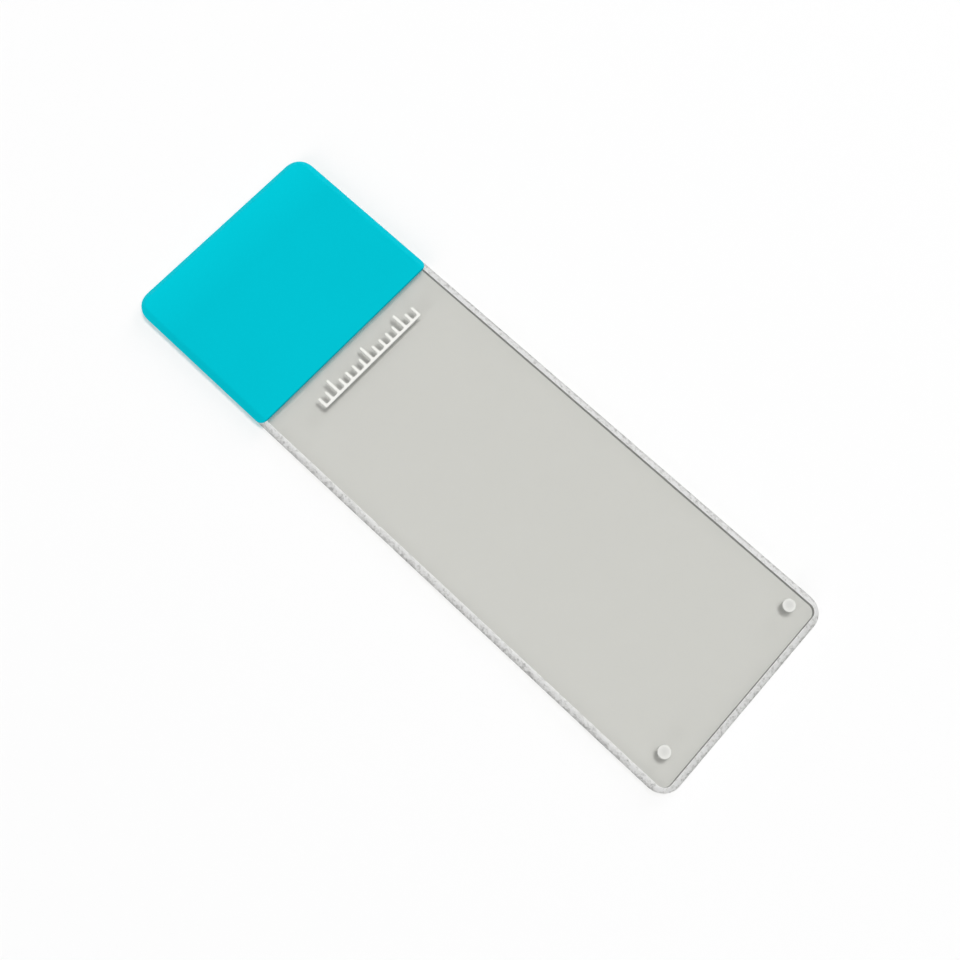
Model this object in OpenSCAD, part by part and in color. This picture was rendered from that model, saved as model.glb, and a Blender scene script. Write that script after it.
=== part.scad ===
// Microscope slide with a coated label end. A glass plate with ground, bevelled edges and
// rounded corners lies on its plain face. The label coating and the raised white print are
// on its upper face. X runs along the slide, away from the label end. The origin is at the
// middle of the plain face.

/* [Glass] */
// Length of the slide
slide_l = 75; // [60:0.5:100]
// Width of the slide
slide_w = 25; // [22:0.5:50]
// Thickness of the glass
slide_t = 1.1; // [1:0.05:2]
// Radius of the slide's four ground corners
corner_r = 2.2; // [1:0.1:4]
// Width, seen from above, of the bevel ground along every edge, above and below
bevel_w = 0.7; // [0.2:0.05:0.8]
// Height of each of those bevels
bevel_h = 0.45; // [0.1:0.05:0.45]
// Radius of the polished faces' corners, inside the bevels
face_corner_r = 1; // [0.5:0.1:1.5]

/* [Label coating] */
// Length of the glass that the coating covers
coating_l = 20; // [10:0.5:30]
// Thickness of the coating
coating_t = 0.03; // [0.02:0.005:0.08]
// Radius of the coating's two inner corners
coating_corner_r = 1; // [0.2:0.1:2]

/* [Raised print] */
// Height of the raised ink
ink_t = 0.08; // [0.04:0.01:0.2]
// How far the print sits off the slide's middle line
print_shift = 0.6; // [-0.7:0.1:0.7]

/* [Printed scale] */
// Bare glass between the coating and the scale
scale_gap = 1.35; // [0.5:0.05:3]
// Distance from one tick to the next
tick_pitch = 1; // [0.5:0.05:1.1]
// Ticks on each side of the middle one
ticks_per_side = 7; // [3:1:8]
// Every tick of this number, counted from the middle, is a long one
long_tick_every = 5; // [2:1:8]
// Length of a long tick, along the slide
long_tick = 2.2; // [1.6:0.1:4]
// Length of a short tick
short_tick = 1.4; // [0.8:0.1:1.5]
// Width of every printed line
line_w = 0.35; // [0.15:0.05:0.4]

/* [Corner dots] */
// Diameter of a dot
dot_d = 1.4; // [0.8:0.1:2]
// Distance from a dot's middle to the plain end
dot_end_inset = 3.2; // [2.5:0.1:6]
// Distance from a dot's middle to the long edge, with the print in the middle
dot_side_inset = 2.9; // [2.7:0.1:5]

/* [Hidden] */
$fn = 64;

half_l = slide_l / 2;
half_w = slide_w / 2;

// The straight sides of a body reach this far inwards from its corners' axes, to join its core
core_lap = 0.3;

// The coating's inner edge
coating_edge = coating_l - half_l;
// The coated area is drawn this far past the slide's outline, which then trims it
area_margin = 1;
// Far side of the scale's long line, from which the ticks run back towards the coating
scale_x = coating_edge + scale_gap + long_tick;
// Length of that line, past the middles of the outer ticks to their outer sides
scale_span = 2 * ticks_per_side * tick_pitch + line_w;
// A dot's rim slopes over this part of its height
dot_rim = ink_t / 2;

// A rounded block between two heights. At its lower end its corners have the radius low_r and
// at its upper end high_r, and they turn about axes this far inside the slide's edges
module rounded(axis_inset, low, low_r, high, high_r) {
    x = half_l - axis_inset;
    y = half_w - axis_inset;
    axes = [[x, -y], [-x, -y], [-x, y], [x, y]];
    translate([0, 0, low]) linear_extrude(high - low) polygon(axes);
    for (i = [0 : 3]) {
        run = axes[(i + 1) % 4] - axes[i];
        translate(axes[i]) rotate(atan2(run.y, run.x)) {
            rotate_extrude() polygon([[0, low], [low_r, low], [high_r, high], [0, high]]);
            rotate([90, 0, 90]) linear_extrude(norm(run))
                polygon([[-core_lap, low], [low_r, low], [high_r, high], [-core_lap, high]]);
        }
    }
}

// All that lies under the upper face and its bevels, if those ran on down below the slide
module under_top() {
    rounded(
        bevel_w + face_corner_r,
        -slide_t, face_corner_r + 2 * slide_t * bevel_w / bevel_h,
        slide_t, face_corner_r
    );
}

// An upright block with the slide's outline, taller than the slide
module outline_block() {
    rounded(corner_r, -slide_t, corner_r, 2 * slide_t, corner_r);
}

// The glass plate. The bevels turn more tightly than its outline, so they are narrower there
module plate() {
    intersection() {
        outline_block();
        under_top();
        translate([0, 0, slide_t]) mirror([0, 0, 1]) under_top();
    }
}

// The coated end seen from above, past the slide's outline, with its inner corners rounded
module coating_area() {
    outer_x = -half_l - area_margin;
    translate([outer_x, -half_w - area_margin])
        square([coating_edge - coating_corner_r - outer_x, slide_w + 2 * area_margin]);
    translate([outer_x, coating_corner_r - half_w])
        square([coating_edge - outer_x, slide_w - 2 * coating_corner_r]);
    for (side = [-1, 1])
        translate([coating_edge - coating_corner_r, side * (half_w - coating_corner_r)])
            circle(coating_corner_r);
}

// A printed line of the scale, which runs back from the far side of its long line
module tick(length) {
    translate([-length, -line_w / 2]) square([length, line_w]);
}

// A round spot of raised ink near a corner of the plain end. side is 1 for +Y and -1 for -Y
module corner_dot(side) {
    translate([half_l - dot_end_inset, print_shift + side * (half_w - dot_side_inset), slide_t])
        rotate_extrude()
            polygon([
                [0, 0],
                [dot_d / 2, 0],
                [dot_d / 2, ink_t - dot_rim],
                [dot_d / 2 - dot_rim, ink_t],
                [0, ink_t]
            ]);
}

module glass_slide() {
    color([0.80, 0.81, 0.79, 0.6]) plate();
}

// The coating drapes over the upper face and bevels, and ends flush with the glass's side
module label_coating() {
    color([0, 0.77, 0.84])
        difference() {
            intersection() {
                outline_block();
                linear_extrude(2 * slide_t) coating_area();
                translate([0, 0, coating_t]) under_top();
            }
            under_top();
        }
}

module printed_scale() {
    color([0.92, 0.92, 0.9])
        translate([scale_x, print_shift, slide_t])
            linear_extrude(ink_t) {
                translate([-line_w, -scale_span / 2]) square([line_w, scale_span]);
                for (i = [-ticks_per_side : ticks_per_side])
                    translate([0, i * tick_pitch])
                        tick(i % long_tick_every == 0 ? long_tick : short_tick);
            }
}

module corner_dot_left() {
    color([0.92, 0.92, 0.9]) corner_dot(1);
}

module corner_dot_right() {
    color([0.92, 0.92, 0.9]) corner_dot(-1);
}

glass_slide();
label_coating();
printed_scale();
corner_dot_left();
corner_dot_right();
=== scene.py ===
# %% [markdown]
# # A microscope slide with a coated label end
# The slide is one plate of very clear glass with ground edges. One end has a cyan coating that
# label printers can print on, and a little raised white ink is printed beside it and near two
# corners. All of it is small: the glass is 1.1 mm thick and the ink is thinner than a sheet of
# card. So this lesson is mostly about glass, thin films and the light that shows them.
#
# The solid model comes first. Every size below is read from it or tied to it, and Blender's own
# meshes replace its nodes where they need rounder edges or a finer surface.

# %% Load the solid model
import math

import bmesh
import bpy
from mathutils import Matrix, Vector


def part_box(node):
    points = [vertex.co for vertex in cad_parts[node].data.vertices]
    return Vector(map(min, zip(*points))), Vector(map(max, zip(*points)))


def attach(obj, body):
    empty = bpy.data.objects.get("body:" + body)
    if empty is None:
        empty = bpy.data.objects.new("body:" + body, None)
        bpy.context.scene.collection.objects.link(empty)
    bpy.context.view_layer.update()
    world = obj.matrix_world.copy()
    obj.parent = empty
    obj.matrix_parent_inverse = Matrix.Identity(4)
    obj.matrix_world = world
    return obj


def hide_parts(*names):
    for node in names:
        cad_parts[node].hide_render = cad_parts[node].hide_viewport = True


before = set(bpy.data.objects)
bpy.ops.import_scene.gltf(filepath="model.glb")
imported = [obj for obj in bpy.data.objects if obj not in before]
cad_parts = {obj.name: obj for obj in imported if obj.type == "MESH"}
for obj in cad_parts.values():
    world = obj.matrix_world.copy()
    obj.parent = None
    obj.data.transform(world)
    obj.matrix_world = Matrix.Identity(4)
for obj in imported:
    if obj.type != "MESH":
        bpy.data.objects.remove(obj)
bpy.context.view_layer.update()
print("nodes:", sorted(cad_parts))

# %% [markdown]
# ## Sizes
# The boxes of the solid nodes give the glass, the film and the print. A few sizes can't be read
# from a box, such as the corner radius, so they are repeated here from the solid model.

# %% Sizes of the glass and the film
MM = 0.001
half_length, half_width, glass_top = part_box("glass_slide")[1]
film_low, film_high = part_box("label_coating")
film_edge = film_high[0]
film_thickness = film_high[2] - glass_top
bevel_height = glass_top - film_low[2]

bevel_width = 0.7 * MM
corner_radius = 2.2 * MM
face_corner_radius = 1.0 * MM
film_corner_radius = 1.0 * MM
# Film and ink reach this far into the glass, so that no air shows between them from below
bond = 0.002 * MM
print(f"glass {2 * half_length / MM:.1f} x {2 * half_width / MM:.1f} x {glass_top / MM:.2f} mm")
print(f"bevel {bevel_width / MM:.2f} mm wide and {bevel_height / MM:.2f} mm high")
print(f"film {film_thickness / MM:.3f} mm thick")

# %% [markdown]
# ## Rounded paths
# Nothing that was ground, printed or poured has a perfectly sharp edge. `soften` takes a path of
# straight lines and swaps each corner for a short arc. The same helper rounds the outlines of
# the slide, the film and the print.

# %% Round the corners of a path
def soften(path, radius, steps, closed=False, inner_radius=None):
    """The path with an arc at each corner. Left turns take radius, right turns inner_radius."""
    points = [Vector(p) for p in path]
    made = [] if closed else [points[0]]
    corners = range(len(points)) if closed else range(1, len(points) - 1)
    for i in corners:
        before, corner, after = points[i - 1], points[i], points[(i + 1) % len(points)]
        way_in = (corner - before).normalized()
        way_out = (after - corner).normalized()
        turn = -way_in.angle_signed(way_out)
        size = radius if turn > 0 or inner_radius is None else inner_radius
        start = corner - way_in * size * math.tan(abs(turn) / 2)
        to_middle = Vector((-way_in.y, way_in.x)) * math.copysign(size, turn)
        for step in range(steps + 1):
            arm = -to_middle
            arm.rotate(Matrix.Rotation(turn * step / steps, 2))
            made.append(start + to_middle + arm)
    return made if closed else made + [points[-1]]


print("a right angle in 4 steps:", len(soften([(0, 0), (1, 0), (1, 1)], 0.2, 4)), "points")

# %% [markdown]
# ## Rings and lofts
# Each piece is made from rings: closed or open rows of points, one above the other. `loft` joins
# neighbouring rings with faces, and where a piece needs it, its first and last rows are then closed
# with a flat cap. This gives even quads that follow the form, which shade and reflect better than
# a cut-up block would.

# %% Join rings of points into a mesh
def ring_at(path, height):
    """A row of 2D points, lifted to this height."""
    return [(p[0], p[1], height) for p in path]


def loft(bm, rings, closed=True):
    """Faces between neighbouring rings, and the rings as rows of bmesh points."""
    rows = [[bm.verts.new(p) for p in ring] for ring in rings]
    count = len(rows[0])
    for low, high in zip(rows, rows[1:]):
        for i in range(count if closed else count - 1):
            j = (i + 1) % count
            bm.faces.new((low[i], low[j], high[j], high[i]))
    return rows


def add_piece(name, bm, sharp_angle=40):
    """A finished object from a bmesh, its edges marked sharp where its faces meet at more than
    sharp_angle.
    """
    bmesh.ops.recalc_face_normals(bm, faces=bm.faces)
    mesh = bpy.data.meshes.new(name)
    bm.to_mesh(mesh)
    bm.free()
    mesh.set_sharp_from_angle(angle=math.radians(sharp_angle))
    piece = bpy.data.objects.new(name, mesh)
    bpy.context.scene.collection.objects.link(piece)
    print(f"{name}: {len(mesh.vertices)} points, {len(mesh.polygons)} faces")
    return piece


# %% [markdown]
# ## The outline of the slide
# The glass is cut to a rectangle and its four corners are ground round, so that they can't
# scratch a hand or catch in a slide rack. The corners of the polished faces are tighter than
# those of the outline, so the bevels narrow as they turn. One function gives the outline at any
# distance from the edge, and every ring of the glass and the film comes from it.

# %% Outline at any distance from the edge
CORNER_STEPS = 20


def radius_at(inset):
    """Radius of the corners, this far inside the slide's edge."""
    if inset > bevel_width:
        return face_corner_radius + bevel_width - inset
    return corner_radius + (face_corner_radius - corner_radius) * inset / bevel_width


def outline(inset):
    """The slide's outline with round corners, this far inside the edge."""
    x, y = half_length - inset, half_width - inset
    rectangle = [(x, -y), (x, y), (-x, y), (-x, -y)]
    return soften(rectangle, radius_at(inset), CORNER_STEPS, closed=True)


print("outline:", len(outline(0)), "points")

# %% [markdown]
# ## The slope of the bevels
# A grinding wheel has one slope, so a bevel sinks in proportion to its distance from the
# polished face. `beyond_face` measures that distance and `sink` turns it into a depth, with a
# short parabola where face and bevel meet. `drape` lays a ring of points on that surface. The
# glass has hardly any rounding there, but the film, which was once liquid, has a wide one.

# %% Lay rings over the bevels
bevel_slope = bevel_height / bevel_width


def beyond_face(x, y):
    """How far outside the polished face a point lies. It is less than zero on the face."""
    reach = bevel_width + face_corner_radius
    along = max(abs(x) - half_length + reach, 0)
    across = max(abs(y) - half_width + reach, 0)
    return math.hypot(along, across) - face_corner_radius


def sink(beyond, roll):
    """Depth below the face there. roll is half the width of the rounding beside the bevel."""
    if beyond >= roll:
        return beyond * bevel_slope
    if beyond <= -roll:
        return 0
    return bevel_slope * (roll + beyond) ** 2 / (4 * roll)


def drape(path, flat, roll):
    """The path's points, on a surface that is this high in its flat middle."""
    return [(x, y, flat - sink(beyond_face(x, y), roll)) for x, y in path]


print(f"the bevels slope at {math.degrees(math.atan(bevel_slope)):.0f} degrees")

# %% [markdown]
# ## The glass plate
# The plate is one loft: from the lower polished face out over the lower bevels, up the narrow
# side and back over the upper bevels. The lower half is the upper one turned over. It could be
# a box with a Bevel modifier, but lofting keeps the bevel's width exact and lets each of its own
# edges be rounded by a twentieth of a millimetre, which is what makes them glint. The polished
# faces are single flat caps, so that nothing bends what is seen through them. All the other
# faces take the second material, because they are ground and not polished.

# %% Build the glass plate
POLISHED, GROUND = 0, 1
EDGE_STEPS = 4
BEVEL_SHARES = (0.25, 0.45, 0.65, 0.8)
ROUNDING_SHARES = (-1, -0.5, 0, 0.5, 1)
glass_edge_radius = 0.05 * MM
rings = []
for i in range(EDGE_STEPS + 1):
    turn = math.pi / 2 * i / EDGE_STEPS
    inset = glass_edge_radius * (1 - math.cos(turn))
    drop = glass_edge_radius * (1 - math.sin(turn))
    rings.append(drape(outline(inset), glass_top - drop, glass_edge_radius))
bevel_insets = [bevel_width * share for share in BEVEL_SHARES]
bevel_insets += [bevel_width + glass_edge_radius * share for share in ROUNDING_SHARES]
rings += [drape(outline(inset), glass_top, glass_edge_radius) for inset in bevel_insets]
turned_over = [[(x, y, glass_top - z) for x, y, z in ring] for ring in reversed(rings)]

bm = bmesh.new()
rows = loft(bm, turned_over + rings)
for face in bm.faces:
    face.smooth = True
    face.material_index = GROUND
for row in (rows[0], rows[-1]):
    cap = bm.faces.new(row)
    cap.material_index = POLISHED
glass = add_piece("glass_plate", bm)
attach(glass, "root")
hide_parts("glass_slide")

# %% [markdown]
# ## The label film
# The coating is printed over the upper face and flows down the upper bevels, where it stops at
# the upright side. Surface tension rounds it where the face meets a bevel. The film's inner
# corners are round too. Each row of points stops where the corner's arc crosses it, so the rows
# are spaced by the arc's own angle, and a flat cap fills what lies inside them. The finished
# surface is then given its thickness by an extrusion straight down.

# %% Inner edge and rows of the film
film_roll = 0.12 * MM
film_flat = glass_top + film_thickness


def film_end(inset):
    """Where the film's inner edge lies along the slide, at this distance from its side."""
    across = max(film_corner_radius - inset, 0)
    along = math.sqrt(film_corner_radius ** 2 - across ** 2)
    return film_edge - film_corner_radius + along


def film_row(inset):
    """One row of the film: from its inner edge round the label end and back."""
    end, far, side = film_end(inset), inset - half_length, half_width - inset
    path = [(end, side), (far, side), (far, -side), (end, -side)]
    return drape(soften(path, radius_at(inset), CORNER_STEPS), film_flat, film_roll)


print("film row:", len(film_row(0)), "points")

# %% Build the label film
ROW_STEPS = 16
CAP_STEPS = 4
rows_turn = math.acos(1 - (bevel_width + film_roll) / film_corner_radius)
cap_turn = math.pi / 2 - rows_turn


def arc_inset(turn):
    """How far the inner corner's arc has come in from the film's side after this turn."""
    return film_corner_radius * (1 - math.cos(turn))


row_insets = [arc_inset(rows_turn * i / ROW_STEPS) for i in range(ROW_STEPS + 1)]
cap_insets = [arc_inset(rows_turn + cap_turn * i / CAP_STEPS) for i in range(1, CAP_STEPS + 1)]
bm = bmesh.new()
rows = loft(bm, [film_row(inset) for inset in row_insets], closed=False)
lower_arc = [bm.verts.new((film_end(d), d - half_width, film_flat)) for d in cap_insets]
upper_arc = [bm.verts.new((film_end(d), half_width - d, film_flat)) for d in cap_insets]
bm.faces.new([*rows[-1], *lower_arc, *reversed(upper_arc)])
surface = list(bm.faces)
made = bmesh.ops.extrude_face_region(bm, geom=surface, use_keep_orig=True)
underside = [v for v in made["geom"] if isinstance(v, bmesh.types.BMVert)]
bmesh.ops.translate(bm, verts=underside, vec=(0, 0, -film_thickness - bond))
for face in bm.faces:
    face.smooth = len(face.verts) == 4
film = add_piece("label_film", bm)
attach(film, "root")
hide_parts("label_coating")

# %% [markdown]
# ## The raised print
# Thick white ink stands up from the glass and pulls itself round at its rim. A plain tick scale
# and two dots are printed together. A rim is a quarter of an ellipse: it leaves the glass
# upright and ends level. The outline of the scale is moved inwards ring by ring along that
# curve, as the glass's outline was.

# %% Heights and insets along an ink rim
scale_low, scale_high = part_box("printed_scale")
ink_height = scale_high[2] - glass_top
RIM_STEPS = 6
rim_width = 0.12 * MM


def rim(height):
    """Insets and heights from the glass up to the top of the ink."""
    angles = [math.pi / 2 * i / RIM_STEPS for i in range(RIM_STEPS + 1)]
    return [(rim_width * (1 - math.cos(a)), height * math.sin(a)) for a in angles]


print("rim:", [(round(i / MM, 3), round(h / MM, 3)) for i, h in rim(ink_height)])

# %% Build the printed scale
TICKS_PER_SIDE = 7
LONG_TICK_EVERY = 5
line_width = 0.35 * MM
short_tick = 1.4 * MM
long_tick = scale_high[0] - scale_low[0]
scale_middle = (scale_low[1] + scale_high[1]) / 2
tick_pitch = (scale_high[1] - scale_low[1] - line_width) / (2 * TICKS_PER_SIDE)
line_end_radius = 0.16 * MM
LINE_END_STEPS = 4


def scale_outline(inset):
    """The comb shape of the scale, anticlockwise, this far inside its edge."""
    half_line = line_width / 2 - inset
    far, near = scale_high[0] - inset, scale_high[0] - line_width + inset
    path = [(far, scale_low[1] + inset), (far, scale_high[1] - inset)]
    for i in range(TICKS_PER_SIDE, -TICKS_PER_SIDE - 1, -1):
        middle = scale_middle + i * tick_pitch
        length = short_tick if i % LONG_TICK_EVERY else long_tick
        tip = scale_high[0] - length + inset
        if i < TICKS_PER_SIDE:
            path.append((near, middle + half_line))
        path += [(tip, middle + half_line), (tip, middle - half_line)]
        if i > -TICKS_PER_SIDE:
            path.append((near, middle - half_line))
    radius, inner_radius = line_end_radius - inset, line_end_radius + inset
    return soften(path, radius, LINE_END_STEPS, closed=True, inner_radius=inner_radius)


bm = bmesh.new()
rings = [ring_at(scale_outline(0), glass_top - bond)]
rings += [ring_at(scale_outline(inset), glass_top + up) for inset, up in rim(ink_height)]
rows = loft(bm, rings)
for face in bm.faces:
    face.smooth = True
for row in (rows[0], rows[-1]):
    bm.faces.new(row)
scale = add_piece("tick_scale", bm)
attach(scale, "root")
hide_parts("printed_scale")

# %% [markdown]
# ## The corner dots
# A dot is turned: its section goes up over the rim and then sinks a little towards the middle,
# because ink dries from its rim inwards. The ink in the middle is thinner, so its material, made
# further down, lets more of the glass's grey through there.

# %% Build the two dots
DOT_STEPS = 48
# Rings of the dish, as shares of its radius
DISH_RINGS = (0.85, 0.65, 0.4, 0.15)
# Depth that the dish would have in its very middle, as a share of the ink's height
dot_dish = 0.5


def add_dot(name, node):
    """A round spot of raised ink where the solid dot is."""
    low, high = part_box(node)
    middle = Vector(((low[0] + high[0]) / 2, (low[1] + high[1]) / 2))
    radius = (high[0] - low[0]) / 2
    height = high[2] - glass_top
    section = [(radius, -bond)] + [(radius - inset, up) for inset, up in rim(height)]
    inner = radius - rim_width
    for share in DISH_RINGS:
        section.append((inner * share, height * (1 - dot_dish * (1 - share ** 2))))
    turns = [2 * math.pi * i / DOT_STEPS for i in range(DOT_STEPS)]
    bm = bmesh.new()
    rings = [[(middle.x + r * math.cos(a), middle.y + r * math.sin(a), glass_top + up) for a in turns]
             for r, up in section]
    rows = loft(bm, rings)
    bm.faces.new(rows[0])
    bm.faces.new(rows[-1])
    for face in bm.faces:
        face.smooth = face.calc_center_median().z > glass_top
    dot = add_piece(name, bm)
    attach(dot, "root")
    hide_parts(node)
    return dot


dots = [add_dot("dot_left", "corner_dot_left"), add_dot("dot_right", "corner_dot_right")]

# %% [markdown]
# ## Colours
# Shaders want linear light, but a colour is easier to judge as it looks on a screen. `screen`
# turns screen values from 0 to 255 into linear ones.

# %% Linear colours from screen values
def screen(red, green, blue):
    """A linear RGBA colour from screen values."""
    def line(value):
        share = value / 255
        return share / 12.92 if share <= 0.04045 else ((share + 0.055) / 1.055) ** 2.4
    return (line(red), line(green), line(blue), 1.0)


print("screen grey 188 is linear", round(screen(188, 188, 188)[0], 3))

# %% [markdown]
# ## A shared effect: surface grain
# No surface here is perfectly even. The coating and the ink show slow patches from the squeegee
# and a fine grain from the screen's mesh, the ground edges are mottled by the wheel, and even the
# polished faces of drawn glass have a slow ripple. One node group makes all of these: it puts out
# a varied colour, and a height for a Bump node. Each material places it with its own values.

# %% Node group for surface grain
def add_node(tree, kind, **values):
    """A node with its properties set."""
    made = tree.nodes.new(kind)
    for key, value in values.items():
        setattr(made, key, value)
    return made


def make_surface_grain():
    """The node group: slow patches and a fine grain, as a varied colour and as a height."""
    tree = bpy.data.node_groups.new("Surface grain", "ShaderNodeTree")
    sockets = tree.interface
    sockets.new_socket(name="Colour", in_out="INPUT", socket_type="NodeSocketColor")
    for name in ("Patch Scale", "Grain Scale", "Unevenness"):
        sockets.new_socket(name=name, in_out="INPUT", socket_type="NodeSocketFloat")
    sockets.new_socket(name="Colour", in_out="OUTPUT", socket_type="NodeSocketColor")
    sockets.new_socket(name="Height", in_out="OUTPUT", socket_type="NodeSocketFloat")
    given = add_node(tree, "NodeGroupInput")
    result = add_node(tree, "NodeGroupOutput")
    place = add_node(tree, "ShaderNodeTexCoord")
    patches = add_node(tree, "ShaderNodeTexNoise")
    grain = add_node(tree, "ShaderNodeTexNoise")
    both = add_node(tree, "ShaderNodeMath", operation="ADD")
    centred = add_node(tree, "ShaderNodeMath", operation="SUBTRACT")
    centred.inputs[1].default_value = 1.0
    scaled = add_node(tree, "ShaderNodeMath", operation="MULTIPLY")
    around_one = add_node(tree, "ShaderNodeMath", operation="ADD")
    around_one.inputs[1].default_value = 1.0
    shade = add_node(tree, "ShaderNodeMix", data_type="RGBA", blend_type="MULTIPLY")
    shade.inputs["Factor"].default_value = 1.0
    shade.clamp_result = True
    link = tree.links.new
    for noise, name in ((patches, "Patch Scale"), (grain, "Grain Scale")):
        link(place.outputs["Object"], noise.inputs["Vector"])
        link(given.outputs[name], noise.inputs["Scale"])
    link(patches.outputs["Fac"], both.inputs[0])
    link(grain.outputs["Fac"], both.inputs[1])
    link(both.outputs[0], centred.inputs[0])
    link(centred.outputs[0], scaled.inputs[0])
    link(given.outputs["Unevenness"], scaled.inputs[1])
    link(scaled.outputs[0], around_one.inputs[0])
    link(given.outputs["Colour"], shade.inputs["A"])
    link(around_one.outputs[0], shade.inputs["B"])
    link(shade.outputs["Result"], result.inputs["Colour"])
    link(grain.outputs["Fac"], result.inputs["Height"])
    return tree


surface_grain = make_surface_grain()
print("group:", surface_grain.name, [s.name for s in surface_grain.interface.items_tree])

# %% Place the grain in a material
def new_material(name, roughness):
    """A material with this roughness, its node tree and its Principled shader."""
    material = bpy.data.materials.new(name)
    material.use_nodes = True
    principled = material.node_tree.nodes["Principled BSDF"]
    principled.inputs["Roughness"].default_value = roughness
    print(f"material: {name}, roughness {roughness}")
    return material, material.node_tree, principled


def add_grain(tree, patch_scale, grain_scale, unevenness, depth):
    """The surface grain with its own values, as bumps of this depth. Its colour is left open."""
    grain = add_node(tree, "ShaderNodeGroup", node_tree=surface_grain)
    grain.inputs["Patch Scale"].default_value = patch_scale
    grain.inputs["Grain Scale"].default_value = grain_scale
    grain.inputs["Unevenness"].default_value = unevenness
    relief = add_node(tree, "ShaderNodeBump")
    relief.inputs["Distance"].default_value = depth
    tree.links.new(grain.outputs["Height"], relief.inputs["Height"])
    tree.links.new(relief.outputs["Normal"], tree.nodes["Principled BSDF"].inputs["Normal"])
    return grain


# %% [markdown]
# ## Light that passes through
# Light from a lamp can't be found through refracting glass in a few samples, so for shadow rays
# a Transparent shader takes its place. The lamps then shine through the plate onto what is under
# it, as they really do, and the ink still throws its shadow. The thin coating is not quite
# opaque either, so its shadow on the bench beside it is pale and tinted.

# %% Let the lamps shine through a material
def let_lamps_through(tree, tint):
    """Mix a Transparent shader of this colour in for shadow rays alone."""
    lamps_through = add_node(tree, "ShaderNodeBsdfTransparent")
    lamps_through.inputs["Color"].default_value = tint
    path = add_node(tree, "ShaderNodeLightPath")
    either = add_node(tree, "ShaderNodeMixShader")
    tree.links.new(path.outputs["Is Shadow Ray"], either.inputs["Fac"])
    tree.links.new(tree.nodes["Principled BSDF"].outputs["BSDF"], either.inputs[1])
    tree.links.new(lamps_through.outputs["BSDF"], either.inputs[2])
    tree.links.new(either.outputs["Shader"], tree.nodes["Material Output"].inputs["Surface"])


# %% [markdown]
# ## A second shared effect: a fade
# The coating, the white ink and the ground edges all change colour in one direction, along the
# slide or with height. This node group measures how far along a direction a point lies, and
# fades from one colour to another between two places there.

# %% Node group for a fade
def make_fade():
    """The node group: a colour that goes from First to Last between two places along Axis."""
    tree = bpy.data.node_groups.new("Fade", "ShaderNodeTree")
    sockets = tree.interface
    sockets.new_socket(name="Axis", in_out="INPUT", socket_type="NodeSocketVector")
    for name in ("Start", "End"):
        sockets.new_socket(name=name, in_out="INPUT", socket_type="NodeSocketFloat")
    for name in ("First", "Last"):
        sockets.new_socket(name=name, in_out="INPUT", socket_type="NodeSocketColor")
    sockets.new_socket(name="Colour", in_out="OUTPUT", socket_type="NodeSocketColor")
    given = add_node(tree, "NodeGroupInput")
    result = add_node(tree, "NodeGroupOutput")
    place = add_node(tree, "ShaderNodeTexCoord")
    distance = add_node(tree, "ShaderNodeVectorMath", operation="DOT_PRODUCT")
    share = add_node(tree, "ShaderNodeMapRange")
    mix = add_node(tree, "ShaderNodeMix", data_type="RGBA")
    link = tree.links.new
    link(place.outputs["Object"], distance.inputs[0])
    link(given.outputs["Axis"], distance.inputs[1])
    link(distance.outputs["Value"], share.inputs["Value"])
    link(given.outputs["Start"], share.inputs["From Min"])
    link(given.outputs["End"], share.inputs["From Max"])
    link(share.outputs["Result"], mix.inputs["Factor"])
    link(given.outputs["First"], mix.inputs["A"])
    link(given.outputs["Last"], mix.inputs["B"])
    link(mix.outputs["Result"], result.inputs["Colour"])
    return tree


fade_group = make_fade()
print("group:", fade_group.name, [s.name for s in fade_group.interface.items_tree])

# %% Place the fade in a material
ALONG_SLIDE, UPWARDS = (1, 0, 0), (0, 0, 1)


def add_fade(tree, axis, start, end, first, last):
    """The fade with its own values."""
    fade = add_node(tree, "ShaderNodeGroup", node_tree=fade_group)
    fade.inputs["Axis"].default_value = axis
    fade.inputs["Start"].default_value = start
    fade.inputs["End"].default_value = end
    fade.inputs["First"].default_value = first
    fade.inputs["Last"].default_value = last
    return fade


# %% [markdown]
# ## Ink materials
# The coating is satin and has almost no shine, or the white room would wash out its strong cyan.
# Along its inner edge the coating is given a deeper colour in a thin line: a painted shadow of the
# film's edge on what lies under the glass. Towards the slide's end it is a little lighter: a
# painted sheen. Two fades along the slide give these colours, one feeding the other.

# %% Material for the label coating
# The second colour is a painted sheen, lighter, for the slide's end.
even_cyan, painted_sheen_cyan, painted_shadow_cyan = screen(0, 184, 200), screen(0, 192, 208), screen(0, 122, 137)
painted_sheen_length = 6 * MM
# The third colour above is a painted shadow; this is the width of its line along the inner edge.
painted_shadow_width = 0.2 * MM
cyan_coating, tree, principled = new_material("Cyan label coating", roughness=0.55)
principled.inputs["Specular IOR Level"].default_value = 0.03
grain = add_grain(tree, patch_scale=120, grain_scale=4000, unevenness=0.04, depth=0.0025 * MM)
# Painted sheen: the coating gets lighter towards the slide's end.
painted_sheen_fade = add_fade(
    tree, ALONG_SLIDE, -half_length, -half_length + painted_sheen_length, painted_sheen_cyan, even_cyan)
# Painted shadow: a darker line along the coating's inner edge.
painted_shadow_line = add_fade(
    tree, ALONG_SLIDE, film_edge - painted_shadow_width, film_edge, even_cyan, painted_shadow_cyan)
tree.links.new(painted_sheen_fade.outputs["Colour"], painted_shadow_line.inputs["First"])
tree.links.new(painted_shadow_line.outputs["Colour"], grain.inputs["Colour"])
tree.links.new(grain.outputs["Colour"], principled.inputs["Base Color"])
let_lamps_through(tree, tint=(0.5, 0.7, 0.73, 1))
film.data.materials.append(cyan_coating)

# %% [markdown]
# The white ink is glossier, so its raised rim catches light. Where it is thin, at its rims and in
# the dished middle of a dot, the grey of the glass shows through it. The height of the surface
# above the glass tells how thick the ink is there, so a fade follows that height. The dots were
# printed with less ink than the scale, so both of their colours are a little greyer.

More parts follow.
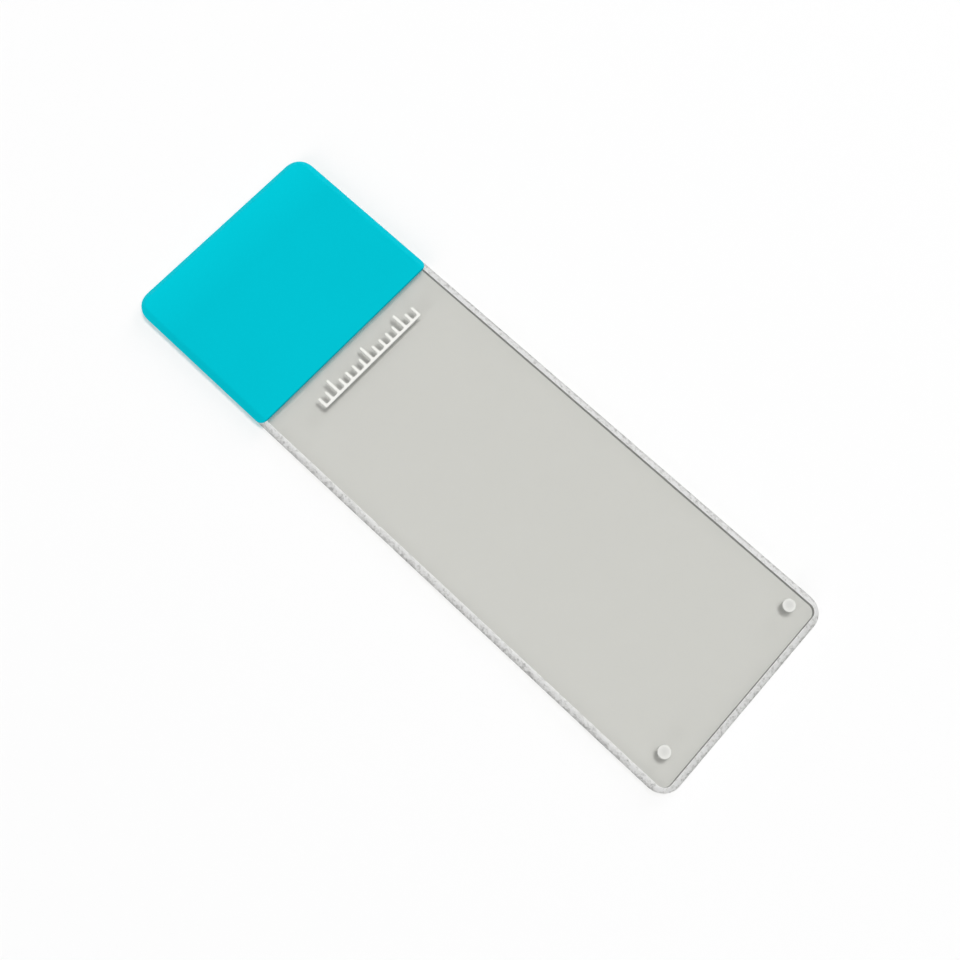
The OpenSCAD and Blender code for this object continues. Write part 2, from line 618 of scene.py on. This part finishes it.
# %% Material for the white ink
def make_white_ink(name, thin, full):
    """White ink that fades from the thin colour at the glass to the full one at its height."""
    material, tree, principled = new_material(name, roughness=0.35)
    principled.inputs["Specular IOR Level"].default_value = 0.4
    grain = add_grain(tree, patch_scale=900, grain_scale=6000, unevenness=0.06, depth=0.003 * MM)
    thickness = add_fade(tree, UPWARDS, glass_top, glass_top + ink_height, thin, full)
    tree.links.new(thickness.outputs["Colour"], grain.inputs["Colour"])
    tree.links.new(grain.outputs["Colour"], principled.inputs["Base Color"])
    return material


scale_ink = make_white_ink("White screen ink", screen(202, 203, 199), screen(235, 235, 230))
dot_ink = make_white_ink("Thin white screen ink", screen(189, 190, 186), screen(222, 222, 218))
scale.data.materials.append(scale_ink)
for dot in dots:
    dot.data.materials.append(dot_ink)

# %% [markdown]
# ## Glass materials
# Polished glass is a Principled shader with full transmission, a faint grey tint and the slow
# ripple of drawn glass. The same helper makes the ground glass further down.

# %% Helper for both kinds of glass
def make_glass(name, roughness, clearness, lamp_tint):
    """Glass whose Base Color is still open, and which the lamps shine through."""
    material, tree, principled = new_material(name, roughness)
    principled.inputs["IOR"].default_value = 1.52
    principled.inputs["Transmission Weight"].default_value = clearness
    let_lamps_through(tree, lamp_tint)
    return material, tree, principled


# %% Material for the polished faces
faint_grey = (0.86, 0.86, 0.83, 1)
polished, tree, principled = make_glass(
    "Polished clear glass", roughness=0.0, clearness=1.0, lamp_tint=(0.84, 0.84, 0.83, 1))
grain = add_grain(tree, patch_scale=40, grain_scale=150, unevenness=0.01, depth=0.001 * MM)
grain.inputs["Colour"].default_value = faint_grey
tree.links.new(grain.outputs["Colour"], principled.inputs["Base Color"])

# %% [markdown]
# The ground edges scatter light. From outside they look frosted and pale, mottled by the wheel's
# grit. From inside the glass the same faces are given a dark colour, a painted shade for the
# light they send back: that is the thin dark line along the far edges of a real slide, where the
# lower bevel is seen through the face. Backfacing tells the two sides apart. The outermost part
# of a bevel is painted darker too, a painted shade for the lower bevel close beneath it, so a fade
# follows the height.

# %% Material for the ground edges
# The outer colour is painted shade, darker, for the outermost part of a bevel; the inner one is the
# pale frosted colour.
outer_frost_painted_shade, inner_frost = (0.6, 0.6, 0.59, 1), (1.0, 1.0, 0.985, 1)
# Painted shade: the colour that a ground face gets when it is seen from inside the glass.
painted_shade_inside = (0.17, 0.17, 0.165, 1)
bevel_middle = glass_top - 0.5 * bevel_height
ground, tree, principled = make_glass(
    "Ground glass edge", roughness=0.6, clearness=0.42, lamp_tint=(0.93, 0.93, 0.92, 1))
grain = add_grain(tree, patch_scale=2200, grain_scale=5500, unevenness=1.3, depth=0.03 * MM)
# Painted shade: the colour fades darker towards the outermost, lowest part of a bevel.
frost_and_painted_shade = add_fade(
    tree, UPWARDS, glass_top - bevel_height, bevel_middle, outer_frost_painted_shade, inner_frost)
tree.links.new(frost_and_painted_shade.outputs["Colour"], grain.inputs["Colour"])
side = add_node(tree, "ShaderNodeNewGeometry")
# Painted shade: this mix swaps in the dark colour where a ground face is seen from inside.
seen = add_node(tree, "ShaderNodeMix", data_type="RGBA")
seen.inputs["B"].default_value = painted_shade_inside
tree.links.new(side.outputs["Backfacing"], seen.inputs["Factor"])
tree.links.new(grain.outputs["Colour"], seen.inputs["A"])
tree.links.new(seen.outputs["Result"], principled.inputs["Base Color"])
glass.data.materials.append(polished)
glass.data.materials.append(ground)
print("glass:", [m.name for m in glass.data.materials])

# %% [markdown]
# ## The floor and the light
# The slide lies on a plain pale surface. It is round, so that no corner shows in a low view. It
# is a hair below the glass, because two surfaces in exactly the same place would flicker.

# %% Pale floor
floor_gap = 0.03 * MM
floor_radius = 0.9
bm = bmesh.new()
bmesh.ops.create_circle(bm, cap_ends=True, segments=96, radius=floor_radius)
bmesh.ops.translate(bm, verts=bm.verts, vec=(0, 0, -floor_gap))
floor = add_piece("studio_floor", bm)
pale_floor, tree, principled = new_material("Pale studio floor", roughness=0.9)
principled.inputs["Base Color"].default_value = (0.88, 0.88, 0.88, 1)
principled.inputs["Specular IOR Level"].default_value = 0.1
floor.data.materials.append(pale_floor)

# %% [markdown]
# Three soft boxes light the slide. The key hangs almost overhead and leans towards the left edge,
# so the ink throws its small shadow the other way. Two weaker ones stand low, one on each long
# side, and brighten the frosted bevels. All of them are far away for such a small thing, so the
# floor stays evenly lit. None is mirrored in the glass or seen through it, because a bright
# square there would hide the plate's even grey.

# %% Soft lights
LAMP_DISTANCE = 4.0


def add_lamp(name, direction, size, power):
    """A square area lamp that faces the slide from this direction."""
    data = bpy.data.lights.new(name, "AREA")
    data.energy = power
    data.size = size
    lamp = bpy.data.objects.new(name, data)
    lamp.location = Vector(direction).normalized() * LAMP_DISTANCE
    lamp.rotation_euler = (-lamp.location).to_track_quat("-Z", "Y").to_euler()
    lamp.visible_glossy = False
    lamp.visible_transmission = False
    bpy.context.scene.collection.objects.link(lamp)
    return lamp


lamps = [
    add_lamp("key_lamp", direction=(-0.03, 0.36, 0.93), size=1.1, power=95),
    add_lamp("right_lamp", direction=(0.1, -0.93, 0.36), size=1.8, power=58),
    add_lamp("left_lamp", direction=(-0.1, 0.93, 0.36), size=1.8, power=50)]
for lamp in lamps:
    print(lamp.name, "at", [round(v, 2) for v in lamp.location])

# %% [markdown]
# The rest of the light comes from the room. Where it only lights the slide it is brighter above
# than at the horizon. Where it is seen, or mirrored at a low angle, it is as pale as the floor.
# Because its strength depends on the kind of ray, Cycles isn't asked to aim rays at it.

# %% The room
horizon_strength, zenith_strength, backdrop_strength = 0.05, 0.5, 0.94
world = bpy.data.worlds.new("Studio")
world.use_nodes = True
world.cycles.sampling_method = "NONE"
bpy.context.scene.world = world
room = world.node_tree
sky = room.nodes["Background"]
sky.inputs["Color"].default_value = (1, 1, 1, 1)
direction = add_node(room, "ShaderNodeTexCoord")
axes = add_node(room, "ShaderNodeSeparateXYZ")
lighting = add_node(room, "ShaderNodeMapRange")
lighting.inputs["To Min"].default_value = horizon_strength
lighting.inputs["To Max"].default_value = zenith_strength
lowness = add_node(room, "ShaderNodeMapRange")
lowness.inputs["To Min"].default_value = 1.0
lowness.inputs["To Max"].default_value = 0.0
path = add_node(room, "ShaderNodeLightPath")
mirrored = add_node(room, "ShaderNodeMath", operation="MULTIPLY")
shown = add_node(room, "ShaderNodeMath", operation="MAXIMUM")
strength = add_node(room, "ShaderNodeMix", data_type="FLOAT")
strength.inputs["B"].default_value = backdrop_strength
room.links.new(direction.outputs["Generated"], axes.inputs["Vector"])
room.links.new(axes.outputs["Z"], lighting.inputs["Value"])
room.links.new(axes.outputs["Z"], lowness.inputs["Value"])
room.links.new(path.outputs["Is Glossy Ray"], mirrored.inputs[0])
room.links.new(lowness.outputs["Result"], mirrored.inputs[1])
room.links.new(mirrored.outputs[0], shown.inputs[0])
room.links.new(path.outputs["Is Camera Ray"], shown.inputs[1])
room.links.new(shown.outputs[0], strength.inputs["Factor"])
room.links.new(lighting.outputs["Result"], strength.inputs["A"])
room.links.new(strength.outputs["Result"], sky.inputs["Strength"])
print("room strength:", horizon_strength, "to", zenith_strength)

# %% [markdown]
# ## The camera
# The camera looks down on the slide from the plain end's corner, close by, so the far end looks
# smaller. Its direction is given as an azimuth round the slide and an elevation above the bench,
# and a slight roll turns the picture.

# %% Camera
view_azimuth, view_elevation, view_roll = (math.radians(a) for a in (42.16, 75.9, 0.73))
view_distance = 102.6 * MM
aim = Vector((2.84 * MM, -1.11 * MM, 0))
back = Vector((
    math.sin(view_azimuth) * math.cos(view_elevation),
    -math.cos(view_azimuth) * math.cos(view_elevation),
    math.sin(view_elevation)))
level = Vector((math.cos(view_azimuth), math.sin(view_azimuth), 0))
upright = back.cross(level)
right = math.cos(view_roll) * level + math.sin(view_roll) * upright
up = math.cos(view_roll) * upright - math.sin(view_roll) * level

camera_data = bpy.data.cameras.new("camera")
camera_data.sensor_width = 36
camera_data.lens = 37.1
camera_data.clip_start = 5 * MM
camera = bpy.data.objects.new("camera", camera_data)
camera.matrix_world = Matrix.LocRotScale(
    aim + back * view_distance, Matrix((right, up, back)).transposed(), None)
bpy.context.scene.collection.objects.link(camera)
bpy.context.scene.camera = camera
bpy.context.scene.view_settings.view_transform = "Standard"
print("camera at", [round(v / MM, 1) for v in camera.location], "mm")
